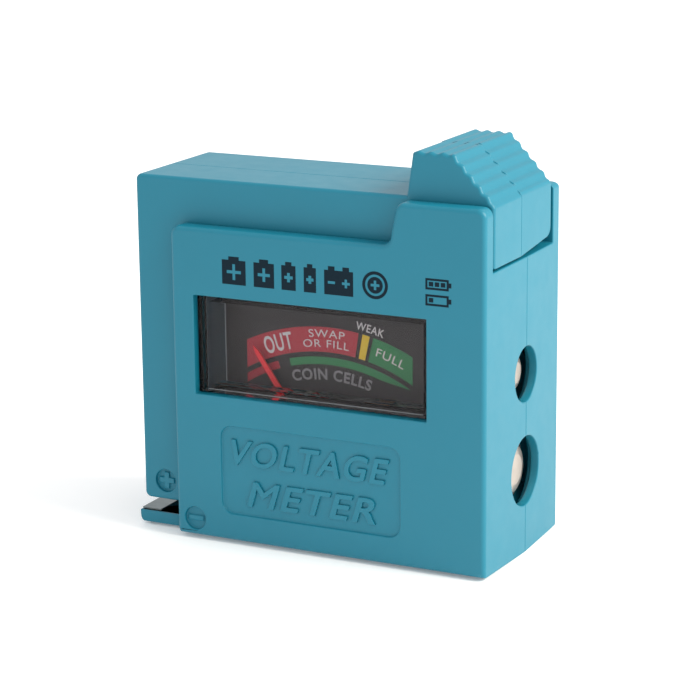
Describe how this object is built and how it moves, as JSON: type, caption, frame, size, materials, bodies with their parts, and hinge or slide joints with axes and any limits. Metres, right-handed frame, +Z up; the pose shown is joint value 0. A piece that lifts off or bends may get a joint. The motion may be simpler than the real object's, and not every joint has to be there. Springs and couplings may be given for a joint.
{
  "type": "battery tester",
  "caption": "Pocket battery tester with a windowed moving-needle dial, a spring-returned ribbed slider, a cell lip and a nine-volt stud port.",
  "frame": {"origin": "middle of the base of the whole object, on the lowest line of the base", "axes": "+Z up, -Y the front with the window, +X the side with the nine-volt port"},
  "size_m": [0.0511, 0.0244, 0.0529],
  "materials": {
    "shell": "satin moulded plastic",
    "clear_window": "clear moulded plastic",
    "dial_black": "printed matt dial",
    "black_plastic": "moulded",
    "steel": "plain",
    "magnet": "ground",
    "brass": "plain",
    "board": "solder mask",
    "resistor": "lacquered",
    "nickel": "nickel plate",
    "wire": "insulated",
    "copper": "enamelled winding",
    "needle_red": "painted"
  },
  "bodies": {
    "housing": {"front_shell": "shell", "rear_shell": "shell", "window_lens": "clear_window", "dial_plate": "dial_black", "meter_frame": "black_plastic", "meter_yoke": "steel", "meter_magnet": "magnet", "front_bridge": "brass", "rear_bridge": "brass", "jewel_screws": "brass", "circuit_board": "board", "load_resistors": "resistor", "nine_volt_positive_contact": "nickel", "nine_volt_negative_contact": "nickel", "negative_contact": "nickel", "wiper_spring": "nickel", "lead_wires": "wire", "case_screws": "steel", "return_spring": "steel"},
    "slider": {"slider_front_half": "shell", "slider_rear_half": "shell", "positive_contact_strip": "nickel", "slider_screws": "steel"},
    "pointer": {"needle": "needle_red", "needle_arbor": "steel", "meter_coil": "copper", "hairspring": "brass", "balance_weights": "steel"}
  },
  "joints": [
    {"name": "slider_lift", "type": "slide", "parent": "housing", "child": "slider", "axis": [0, 0, 1], "range_m": [0, 0.02], "stiffness_N_per_m": 50, "deforming": ["return_spring"]},
    {"name": "needle_turn", "type": "hinge", "parent": "housing", "child": "pointer", "pos_m": [0.00155, 0, 0.0102], "axis": [0, 1, 0], "range_deg": [0, 72], "stiffness_Nm_per_rad": 0.00002}
  ]
}
